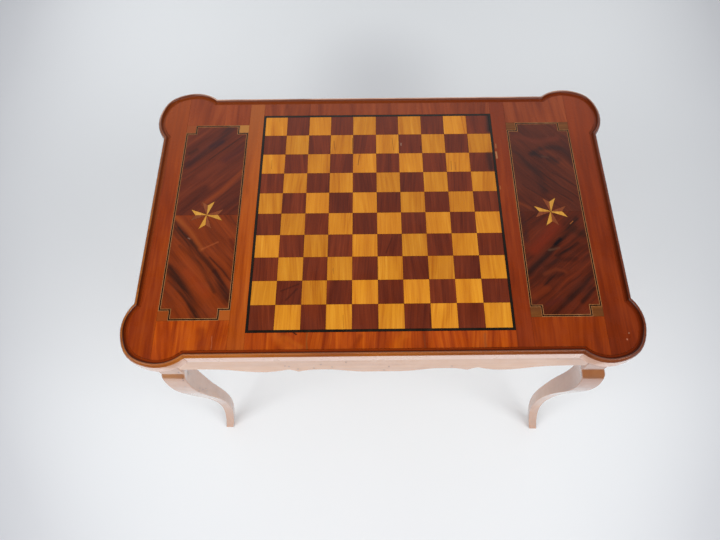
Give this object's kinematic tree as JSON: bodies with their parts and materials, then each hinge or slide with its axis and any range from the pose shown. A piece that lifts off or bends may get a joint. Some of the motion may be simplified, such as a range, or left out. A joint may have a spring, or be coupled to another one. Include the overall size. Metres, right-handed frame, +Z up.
{
  "type": "tric-trac games table",
  "caption": "Games table with a lift-off chequered marquetry top, lipped rim and round ear corners, over a tric-trac well with scalloped aprons and cabriole legs.",
  "frame": {"origin": "bottom centre of the table, on the floor under the middle of the top", "axes": "+X along the long side to the right, +Y to the back, +Z up"},
  "size_m": [0.9314, 0.6074, 0.735],
  "materials": {
    "leg_wood": "waxed fruitwood",
    "apron_wood": "waxed fruitwood",
    "bottom_board": "plain softwood",
    "rail_wood": "polished walnut",
    "partition_wood": "polished walnut",
    "bar_wood": "polished dark wood",
    "field_wood": "polished veneer with inlaid points",
    "core_wood": "plain hardwood",
    "green_baize": "baize",
    "rim_wood": "polished moulding",
    "chequer_wood": "polished light and dark squares",
    "ebony": "polished ebony",
    "border_veneer": "polished veneer",
    "band_veneer": "polished veneer",
    "strip_veneer": "polished veneer",
    "walnut_figure": "polished figured walnut",
    "string_light_wood": "polished light stringing",
    "string_dark_wood": "polished dark stringing",
    "cross_wood": "polished light and dark facets"
  },
  "bodies": {
    "stand": {"leg_front_left": "leg_wood", "leg_front_right": "leg_wood", "leg_back_left": "leg_wood", "leg_back_right": "leg_wood", "apron_front": "apron_wood", "apron_back": "apron_wood", "apron_left": "apron_wood", "apron_right": "apron_wood", "well_bottom": "bottom_board", "well_rail_front": "rail_wood", "well_rail_back": "rail_wood", "partition_left": "partition_wood", "partition_right": "partition_wood", "centre_bar": "bar_wood", "game_field_left": "field_wood", "game_field_right": "field_wood"},
    "lifting_top": {"top_core": "core_wood", "baize_lining": "green_baize", "rim_front": "rim_wood", "rim_back": "rim_wood", "rim_left": "rim_wood", "rim_right": "rim_wood", "rim_ear_front_left": "rim_wood", "rim_ear_front_right": "rim_wood", "rim_ear_back_left": "rim_wood", "rim_ear_back_right": "rim_wood", "board_row_01": "chequer_wood", "board_row_02": "chequer_wood", "board_row_03": "chequer_wood", "board_row_04": "chequer_wood", "board_row_05": "chequer_wood", "board_row_06": "chequer_wood", "board_row_07": "chequer_wood", "board_row_08": "chequer_wood", "board_row_09": "chequer_wood", "board_row_10": "chequer_wood", "ebony_line": "ebony", "border_left": "border_veneer", "border_right": "border_veneer", "band_front_left": "band_veneer", "band_front_middle": "band_veneer", "band_front_right": "band_veneer", "band_back_left": "band_veneer", "band_back_middle": "band_veneer", "band_back_right": "band_veneer", "strip_left": "strip_veneer", "strip_right": "strip_veneer", "panel_left_front": "walnut_figure", "panel_left_back": "walnut_figure", "panel_right_front": "walnut_figure", "panel_right_back": "walnut_figure", "stringing_left_outer": "string_light_wood", "stringing_left_dark": "string_dark_wood", "stringing_left_inner": "string_light_wood", "stringing_right_outer": "string_light_wood", "stringing_right_dark": "string_dark_wood", "stringing_right_inner": "string_light_wood", "cross_left": "cross_wood", "cross_right": "cross_wood"}
  },
  "joints": [
    {"name": "top_lift", "type": "slide", "parent": "stand", "child": "lifting_top", "axis": [0, 0, 1], "range_m": [0, 0.12]}
  ]
}
